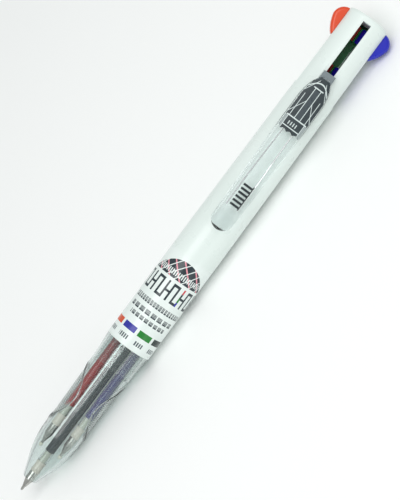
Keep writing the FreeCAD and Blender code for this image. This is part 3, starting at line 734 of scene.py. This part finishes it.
# Stainless steel, turned: bright, with rings that catch the light.
TIP_STEEL = TurnedSteel("stainless_steel_turned", "#D4D3CD")
# Carbide ball and spring wire: the same bright grey, smoother and drawn.
BALL_CARBIDE = TurnedSteel("tungsten_carbide_ground", "#BDBDBB", 0.12, 0.1, 0.0005)
SPRING_WIRE = TurnedSteel("spring_steel_drawn_wire", "#B5B6B3", 0.26, 0.4)
# Wax bead: pale and soft, hardly glossy.
POINT_WAX = WetFilling("wax_bead_soft", "#E9E6DA", "#D8D3C2", 0.3, 0.3)
# Silicone grease: yellowish and wet.
GREASE = WetFilling("silicone_grease_follower", "#E6E0B8", "#D6CB95", 0.2, 0.5)
# Polyester film, printed and varnished: white with an even gloss.
FILM_PRINT = LabelPrint("printed_polyester_film", "#EAF2EF")
# Pad printing: dark and thin, less glossy than the clip.
CLIP_INK = ClipPrint("pad_printed_ink", "#252E32")
DARK_INK = WetFilling("pad_printed_dark_ink", "#1D2427", "#2C3539", 0.35, 0.4)
# Uncoated paper: matt, with soft shadows.
PAPER = Paper("white_paper", "#FAFBFA")
# ABS coloured right through: strong, even colours with a soft gloss.
SLIDER_ABS = {
    Colour.BLACK: MouldedPlastic("grey_black_abs_moulded", "#7D878B", "#6F797D", 0.32),
    Colour.BLUE: MouldedPlastic("blue_abs_moulded", "#0A18B8", "#0814A6", 0.3),
    Colour.GREEN: MouldedPlastic("green_abs_moulded", "#18A552", "#149648", 0.32),
    Colour.RED: MouldedPlastic("orange_red_abs_moulded", "#E24A1C", "#D84216", 0.3),
}
# Gel ink against its tube: dark and wet.
GEL_INK = {
    Colour.BLACK: WetFilling("gel_ink_wet_black", "#262F34", "#374248"),
    Colour.BLUE: WetFilling("gel_ink_wet_blue", "#1C2570", "#28318A"),
    Colour.GREEN: WetFilling("gel_ink_wet_green", "#1F5A38", "#2B6B45"),
    Colour.RED: WetFilling("gel_ink_wet_red", "#BE1418", "#A80D12"),
}


# ---- grip


@dataclass
class FrontGrip:
    """Clear nose and grip in one moulding, with a leaf of fine ribs pressed into its red and its blue side."""

    lip: tuple[Place, ...] = ((3.7, 1.7), (3.78, 1.88), (3.95, 2.02))
    nose: Place = (9.0, 3.85)
    swell: Place = (12.6, 4.88)
    ribs_start: Place = (18.5, 5.45)
    ribs_end: Place = (37.3, 5.7)
    flare: Place = (42.3, 5.9)
    rear: Place = (46.6, 6.3)
    bore: tuple[Place, ...] = (
        (46.6, 5.15), (39.0, 5.15), (39.0, 4.6), (17.5, 4.6), (15.8, 4.4), (14.0, 4.1), (12.2, 3.74), (10.2, 3.3),
        (3.7, 1.45),
    )
    leaf_middle: float = 28.35
    leaf_half_length: float = 8.6
    leaf_half_width: float = 5.4
    leaf_depth: float = 0.14
    rib_pitch: float = 0.55
    rib_depth: float = 0.1
    rim_height: float = 0.12
    rim_width: float = 0.16
    rim_reach: float = 0.8
    skin: float = 5.2
    row: float = 0.09
    segments: int = 336

    def outline(self) -> Outline:
        """The whole section, close-stepped where the ribs are, then back from the rear socket to the nose's hole."""
        (x0, y0), (x1, y1) = self.ribs_start, self.ribs_end
        steps = int((x1 - x0) / self.row)
        ribs = [(x0 + (x1 - x0) * i / steps, y0 + (y1 - y0) * i / steps) for i in range(1, steps + 1)]
        front = [*self.lip, self.nose, *arc(self.nose, self.swell, self.ribs_start, 22)]
        return [*front, *ribs, *arc(self.ribs_end, self.flare, self.rear, 14), *self.bore]

    def press_leaf(self, bm: bmesh.types.BMesh, colour: Colour) -> None:
        """Presses the leaf and its ribs into one side.

        Args:
            bm: The turned grip.
            colour: The colour whose side it is.
        """
        middle = math.radians(colour.value)
        for vert in bm.verts:
            x, radius = vert.co.x / MM, math.hypot(vert.co.y, vert.co.z) / MM
            along = (x - self.leaf_middle) / self.leaf_half_length
            if abs(along) > 1.1 or radius < self.skin:
                continue
            angle = math.atan2(-vert.co.y, vert.co.z) - middle
            aside = abs((angle + math.pi) % math.tau - math.pi) * radius
            depth_in = self.leaf_half_width * (1 - along * along) - aside
            if depth_in < -self.rim_reach:
                continue
            rib = 0.5 - 0.5 * math.cos(math.tau * (x - self.leaf_middle) / self.rib_pitch)
            pressed = self.leaf_depth * smoothstep(0.0, 0.22, depth_in)
            pressed += self.rib_depth * rib * smoothstep(0.12, 0.4, depth_in)
            pressed -= self.rim_height * math.exp(-((depth_in / self.rim_width + 1) ** 2))
            scale = (radius - pressed) / radius
            vert.co.y *= scale
            vert.co.z *= scale

    def make(self) -> None:
        """Builds the grip."""
        bm = turned(self.outline(), self.segments)
        for side in (Colour.RED, Colour.BLUE):
            self.press_leaf(bm, side)
        settle(bm, "grip_shell", CLEAR_STYRENE, "grip", ("front_grip",))


# ---- barrel


@dataclass
class Barrel:
    """White rear tube with its plug, the threaded sleeve in its front, the spring seat and the printed label."""

    def make(self) -> None:
        """Dresses the frame's own shapes, which are exact."""
        dress("barrel", WHITE_ABS)
        dress("end_plug", WHITE_ABS)
        dress("spring_seat", WHITE_ABS)
        dress("coupling_sleeve", CLEAR_STYRENE)
        dress("label_film", FILM_PRINT)


# ---- clip


@dataclass
class Clip:
    """Clear arched clip, hollow below, with a bump at its tip, and the prints on its top."""

    nose: tuple[Place, ...] = ((83.9, 7.5), (85.0, 8.45), (88.5, 8.9))
    ridge: tuple[Place, ...] = ((88.5, 8.9), (104.0, 9.05), (120.0, 8.9))
    slope: tuple[Place, ...] = ((120.0, 8.9), (125.4, 8.62), (130.0, 8.15))
    bump: tuple[Place, ...] = ((83.9, 7.5), (84.8, 6.8), (86.8, 6.48))
    underside: tuple[Place, ...] = ((87.6, 6.6), (88.6, 7.0), (89.5, 7.25), (122.0, 7.25), (127.9, 6.05))
    tip: float = 83.9
    round_length: float = 3.3
    tip_half_width: float = 2.95
    rear: float = 127.9
    lip_bottom: float = 7.9
    half_width: float = 3.5
    taper_start: float = 116.0
    arch_start: float = 122.5
    arch_length: float = 7.5
    hollow_start: float = 90.5
    hollow_end: float = 119.0
    hollow_top: float = 7.95
    hollow_front_half_width: float = 2.1
    hollow_rear_half_width: float = 1.5
    hollow_corner: float = 0.2
    step: float = 0.02
    crowning: float = 0.12
    ink_lift: float = 0.02
    ink_thickness: float = 0.03
    scallops: float = 3.5
    scallop_depth: float = 0.55
    panel: Numbers = (113.4, 129.5, -0.9, 0.9)
    first_bar: Numbers = (91.0, 91.6, -0.46, 0.36)
    spine_bar: Numbers = (90.7, 97.8, -0.55, -0.46)
    bar_pitch: float = 1.15
    bar_count: int = 6
    corner: float = 0.4
    foot: float = 0.15
    pivot: float = 128.2
    pivot_height: float = 6.75
    socket_radius: float = 1.06

    def top(self, x: float) -> float:
        """The height of the clip's top over the pen's axis."""
        line = [self.nose[0], *arc(*self.nose, 16), *arc(*self.ridge, 20), *arc(*self.slope, 14)]
        return height_at(line, x)

    def bottom(self, x: float) -> float:
        """The height of its underside."""
        if x > self.rear:
            return self.lip_bottom
        return height_at([self.bump[0], *arc(*self.bump, 12), *self.underside], x)

    def width(self, x: float) -> float:
        """Half its width."""
        ahead = x - self.tip
        if ahead < self.round_length:
            radius = (self.round_length**2 + self.tip_half_width**2) / (2 * self.round_length)
            return math.sqrt(max(0.0, radius**2 - (radius - ahead) ** 2))
        if x > self.arch_start:
            share = min(1.0, (x - self.arch_start) / self.arch_length)
            return self.half_width * math.sqrt(1 - share * share)
        straight = self.taper_start - self.tip - self.round_length
        share = min(1.0, (ahead - self.round_length) / straight)
        return self.tip_half_width + (self.half_width - self.tip_half_width) * share

    def crown(self, x: float, across: float) -> float:
        """The height of the top at a distance across the clip."""
        width, high = self.width(x), self.top(x)
        corner = min(self.corner, 0.45 * (high - self.bottom(x)), 0.6 * width)
        past = abs(across) - (width - corner)
        drop = self.crowning * (across / max(width, 1e-6)) ** 2
        if past <= 0:
            return high - drop
        return high - drop - corner + math.sqrt(max(0.0, corner**2 - min(past, corner) ** 2))

    def section(self, x: float) -> list[Vector]:
        """One closed cross-section, from the lower left over the top and back through the hollow."""
        width, low = self.width(x), self.bottom(x)
        share = (x - self.hollow_start) / (self.hollow_end - self.hollow_start)
        is_hollow = 0.0 <= share <= 1.0
        narrowing = self.hollow_front_half_width - self.hollow_rear_half_width
        hollow = self.hollow_front_half_width - narrowing * min(1.0, max(0.0, share))
        hollow = min(hollow, 0.6 * width)
        roof = self.hollow_top if is_hollow else low
        foot = min(self.foot, 0.2 * width)
        edge = [-math.cos(math.radians(a)) for a in range(0, 181, 6)]
        over = [(width * e, self.crown(x, width * e)) for e in edge]
        points = [(-width + foot, low), (-width, low + foot), *over, (width, low + foot), (width - foot, low)]
        side = [(hollow, low), (hollow * 0.94, roof - self.hollow_corner), (hollow * 0.8, roof)]
        points += [*side, (0.0, roof), *[(-y, z) for y, z in reversed(side)]]
        return [Vector((x, y, max(low, z))) * MM for y, z in points]

    def stations(self) -> list[float]:
        """Where the cross-sections are, closer together at the ends and at the hollow's ends."""
        tip = self.tip + self.step
        places = [tip + self.round_length * (1 - math.cos(math.radians(a))) for a in range(0, 91, 6)]
        places += [88.0, 88.6, 89.5, 90.0, self.hollow_start - self.step, self.hollow_start, 90.7]
        places += [92.0 + 1.5 * i for i in range(18)]
        places += [self.hollow_end, self.hollow_end + self.step, 120.0, 121.0, 122.0]
        places += [self.arch_start + self.arch_length * math.sin(math.radians(a)) for a in range(0, 88, 3)]
        places += [self.rear, self.rear + self.step, self.arch_start + self.arch_length - self.step / 4]
        return sorted(places)

    def printed(self, name: str, areas: list[Numbers], finish: Finish, rows: int, scallop: float = 0.0) -> None:
        """Prints thin areas on the clip's top.

        Args:
            name: The piece's name.
            areas: Each area as its start and end along the pen, and its two edges across as shares of the width.
            finish: The ink.
            rows: Steps along each area.
            scallop: How deep the waves of each area's front edge are.
        """
        bm = bmesh.new()
        for start, end, left, right in areas:
            made = bmesh.ops.create_grid(bm, x_segments=rows, y_segments=22, size=0.5)["verts"]
            for vert in made:
                share, across = vert.co.x + 0.5, vert.co.y + 0.5
                first = start + scallop * abs(math.sin(math.pi * self.scallops * across)) * (1 - share)
                x = first + (end - first) * share
                y = self.width(x) * (left + (right - left) * across)
                vert.co = Vector((x, y, self.crown(x, y) + self.ink_lift)) * MM
        bmesh.ops.recalc_face_normals(bm, faces=bm.faces)
        if sum(face.normal.z for face in bm.faces) < 0:
            bmesh.ops.reverse_faces(bm, faces=bm.faces)
        bmesh.ops.solidify(bm, geom=bm.faces, thickness=self.ink_thickness * MM)
        settle(bm, name, finish, "clip", place=rolled(Colour.BLACK))

    def make(self) -> None:
        """Builds the clip, cuts the socket for the slider's head and prints its top."""
        piece = settle(
            lofted([self.section(x) for x in self.stations()]), "clip_arm", CLEAR_CARBONATE, "clip", ("clip",),
            rolled(Colour.BLACK),
        )
        cutter = bmesh.new()
        place = rolled(Colour.BLACK) @ Matrix.Translation(Vector((self.pivot, 0, self.pivot_height)) * MM)
        bmesh.ops.create_cone(
            cutter, cap_ends=True, segments=48, radius1=self.socket_radius * MM, radius2=self.socket_radius * MM,
            depth=12 * MM, matrix=place @ Matrix.Rotation(math.radians(90), 4, "X"),
        )
        carve(piece, cutter)
        self.printed("clip_print", [self.panel], CLIP_INK, 70, self.scallop_depth)
        start, end, left, right = self.first_bar
        bars = [(start + self.bar_pitch * i, end + self.bar_pitch * i, left, right) for i in range(self.bar_count)]
        self.printed("clip_bars", [*bars, self.spine_bar], DARK_INK, 12)


# ---- sliders and refills


@dataclass
class Slider:
    """One colour's slider: the knob or head outside, and the guide inside the barrel."""

    colour: Colour

    def make(self) -> None:
        """Dresses the frame's own shape."""
        dress(f"{self.colour.word}_slider", SLIDER_ABS[self.colour])


@dataclass
class ReturnSpring:
    """One colour's return spring, between the spring seat and the slider's foot."""

    colour: Colour
    seat: float = 98.0
    foot: float = 124.0
    stroke: float = 12.7
    offset: float = 3.0
    radius: float = 1.3
    wire: float = 0.16
    end_gap: float = 0.06
    turns: int = 14
    steps_per_turn: int = 28

    def make(self) -> None:
        """Winds the wire between the spring seat and the slider's foot."""
        foot = self.foot - (self.stroke if self.colour.is_out else 0.0)
        clear = self.wire + self.end_gap
        bm = bmesh.new()
        start = Matrix.Translation(Vector((self.seat + clear, 0, self.radius)) * MM)
        bmesh.ops.create_circle(
            bm, cap_ends=True, segments=8, radius=self.wire * MM,
            matrix=start @ Matrix.Rotation(math.radians(90), 4, "X"),
        )
        steps = self.turns * self.steps_per_turn
        rise = (foot - self.seat - 2 * clear) / steps * MM
        first = list(bm.faces)
        bmesh.ops.spin(
            bm, geom=[*bm.verts, *bm.edges, *first], cent=(0, 0, 0), axis=(1, 0, 0), dvec=(rise, 0, 0),
            angle=math.tau * self.turns, steps=steps, use_merge=False,
        )
        bmesh.ops.recalc_face_normals(bm, faces=bm.faces)
        word = self.colour.word
        place = rolled(self.colour) @ Matrix.Translation((0, 0, self.offset * MM))
        spring = settle(
            bm, f"{word}_return_spring", SPRING_WIRE, "", (f"{word}_spring",), place
        )
        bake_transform(spring)


@dataclass
class Refill:
    """One gel refill: steel tip and ball, acetal collar, clear tube, ink and grease follower."""

    colour: Colour
    reach: float = 80.3
    offset: float = 3.0
    stroke: float = 12.7
    shank: float = 6.4
    steel_end: float = 8.6
    tube_start: float = 9.6
    collar_end: float = 12.6
    tube_end: float = 81.6
    ink_end: float = 62.0
    steel_radius: float = 1.15
    collar_radius: float = 1.29
    tube_radius: float = 1.3
    ink_radius: float = 0.93
    segments: int = 48

    def place(self) -> Matrix:
        """Takes a refill drawn along X from its point to its place in the pen."""
        tilt = math.asin(self.offset / self.reach)
        peg = self.reach * math.cos(tilt) + (0.0 if self.colour.is_out else self.stroke)
        lean = Matrix.Rotation(-tilt if self.colour.is_out else 0.0, 4, "Y")
        at_peg = Matrix.Translation(Vector((peg, 0, self.offset)) * MM)
        return rolled(self.colour) @ at_peg @ lean @ Matrix.Translation((-self.reach * MM, 0, 0))

    def outlines(self) -> dict[str, Outline]:
        """The outline of each turned piece, as (x, radius)."""
        steel, collar, tube = self.steel_radius, self.collar_radius, self.tube_radius
        return {
            "tip": [
                (0.35, 0.27), (0.35, 0.33), (0.55, 0.37), (1.25, 0.42), (1.4, 0.5), (3.3, 1.05), (3.6, 1.13),
                (5.2, steel), (5.25, 1.08), (5.45, 1.08), (5.5, steel), (self.shank, steel), (self.shank, 0.85),
                (self.steel_end, 0.85), (self.steel_end, 0.35), (3.2, 0.35), (3.2, 0.12), (0.53, 0.12), (0.53, 0.27),
            ],
            "collar": [
                (self.shank, 0.86), (self.shank, 1.22), (6.55, collar), (7.1, collar), (7.2, 1.2), (8.9, 1.18),
                (9.0, collar), (self.tube_start, collar), (self.tube_start, 0.89), (self.collar_end, 0.89),
                (self.collar_end, 0.5), (self.steel_end, 0.5), (self.steel_end, 0.86),
            ],
            "tube": [
                (self.tube_start, 0.9), (self.tube_start, 1.24), (self.tube_start + 0.06, tube),
                (self.tube_end - 0.06, tube), (self.tube_end, 1.24), (self.tube_end, 0.9),
            ],
        }

    def make(self) -> None:
        """Builds the pieces that show and dresses the rest."""
        word, body = self.colour.word, f"{self.colour.word}_refill"
        finishes = {"tip": (TIP_STEEL, "stainless_steel"), "collar": (NATURAL_ACETAL, "clear_polypropylene")}
        finishes["tube"] = (CLEAR_PROPYLENE, "clear_polypropylene")
        for part, outline in self.outlines().items():
            finish, slot = finishes[part]
            bm = turned(outline, self.segments)
            settle(bm, f"{word}_refill_{part}", finish, body, (f"{word}_{part}",), self.place())
        ink = [(8.65, 0.0), (8.65, 0.46), (12.55, 0.46), (12.7, self.ink_radius), (self.ink_end - 0.3, self.ink_radius)]
        ink += [(self.ink_end, 0.8), (self.ink_end + 0.1, 0.0)]
        settle(
            turned(ink, self.segments, closed=False), f"{word}_ink_column", GEL_INK[self.colour], body,
            (f"{word}_ink",), self.place(),
        )
        dress(f"{word}_ball", BALL_CARBIDE)
        dress(f"{word}_follower", GREASE)
        if self.colour in (Colour.BLUE, Colour.RED):
            dress(f"{word}_bead", POINT_WAX)


# ---- studio


@dataclass(frozen=True)
class Softbox:
    """A soft light that faces the pen. Its angles are as in Studio.towards, and its sizes are millimetres."""

    name: str
    along: float
    around: float
    far: float
    long: float
    wide: float
    watts: float


@dataclass
class Studio:
    """Paper floor, soft lights and the camera."""

    target: float = 76.9
    distance: float = 380.0
    lens: float = 107.8
    lean: float = 3.0
    roll: float = 2.0
    rise: float = 53.47
    aside: float = -0.25
    sensor: float = 36.0
    sees: tuple[float, float] = (0.01, 10.0)
    world_strength: float = 0.64
    softboxes: tuple[Softbox, ...] = (
        Softbox("key_softbox", 4.0, 26.0, 420.0, 420.0, 260.0, 0.95),
        Softbox("fill_softbox", -5.0, -50.0, 520.0, 420.0, 300.0, 0.5),
    )
    paper_half_side: float = 3000.0

    def towards(self, along: float, around: float) -> Vector:
        """A direction from the pen, leaning along X and turned about X from the clip's side to the red side."""
        lean, turn = math.radians(along), math.radians(Colour.BLACK.value - around)
        across = Vector((0, -math.sin(turn), math.cos(turn)))
        return Vector((math.sin(lean), 0, 0)) + across * math.cos(lean)

    def camera(self) -> None:
        """Looks at the clip's side, with the pen rising to the right."""
        back = self.towards(self.lean, self.roll)
        along = (Vector((1, 0, 0)) - back * back.x).normalized()
        across = back.cross(along)
        rise = math.radians(self.rise)
        right = along * math.cos(rise) - across * math.sin(rise)
        up = along * math.sin(rise) + across * math.cos(rise)
        data = bpy.data.cameras.new("camera")
        data.lens, data.sensor_width = self.lens, self.sensor
        data.clip_start, data.clip_end = self.sees
        camera = bpy.data.objects.new("camera", data)
        turn = Matrix((right, up, back)).transposed().to_4x4()
        target = Vector((self.target, 0, 0)) + across * self.aside
        camera.matrix_world = Matrix.Translation((target + back * self.distance) * MM) @ turn
        bpy.context.scene.collection.objects.link(camera)
        bpy.context.scene.camera = camera

    def softbox(self, box: Softbox) -> None:
        """Adds one of the soft lights."""
        data = bpy.data.lights.new(box.name, "AREA")
        data.shape, data.size, data.size_y, data.energy = "RECTANGLE", box.long * MM, box.wide * MM, box.watts
        back = self.towards(box.along, box.around)
        side = (Vector((1, 0, 0)) - back * back.x).normalized()
        turn = Matrix((side, back.cross(side), back)).transposed().to_4x4()
        light = bpy.data.objects.new(box.name, data)
        light.matrix_world = Matrix.Translation(Vector((self.target * MM, 0, 0)) + back * box.far * MM) @ turn
        bpy.context.scene.collection.objects.link(light)

    def floor(self) -> None:
        """A flat sheet of white paper under the pen, much wider than the view."""
        low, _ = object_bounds()
        bm = bmesh.new()
        bmesh.ops.create_grid(bm, x_segments=1, y_segments=1, size=self.paper_half_side * MM)
        bmesh.ops.translate(bm, verts=bm.verts, vec=(0, 0, low.z))
        floor = settle(bm, "paper_floor", PAPER, "")
        floor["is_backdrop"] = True

    def make(self) -> None:
        """Sets up the studio."""
        scene = bpy.context.scene
        scene.view_settings.view_transform = "Standard"
        world = bpy.data.worlds.new("studio")
        world.use_nodes = True
        world.node_tree.nodes.clear()
        light = add_node(
            world.node_tree, "ShaderNodeBackground", Color=linear("#F7FAFA"), Strength=self.world_strength
        )
        add_node(world.node_tree, "ShaderNodeOutputWorld", {"Surface": light.outputs["Background"]})
        scene.world = world
        self.camera()
        for box in self.softboxes:
            self.softbox(box)
        self.floor()


def main() -> None:
    """Builds the pen piece by piece."""
    logging.basicConfig(level=logging.INFO, format="%(name)s: %(message)s")
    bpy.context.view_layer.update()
    FrontGrip().make()
    Barrel().make()
    Clip().make()
    for colour in Colour:
        Slider(colour).make()
        ReturnSpring(colour).make()
        Refill(colour).make()
    Studio().make()


if __name__ == "__main__":
    main()
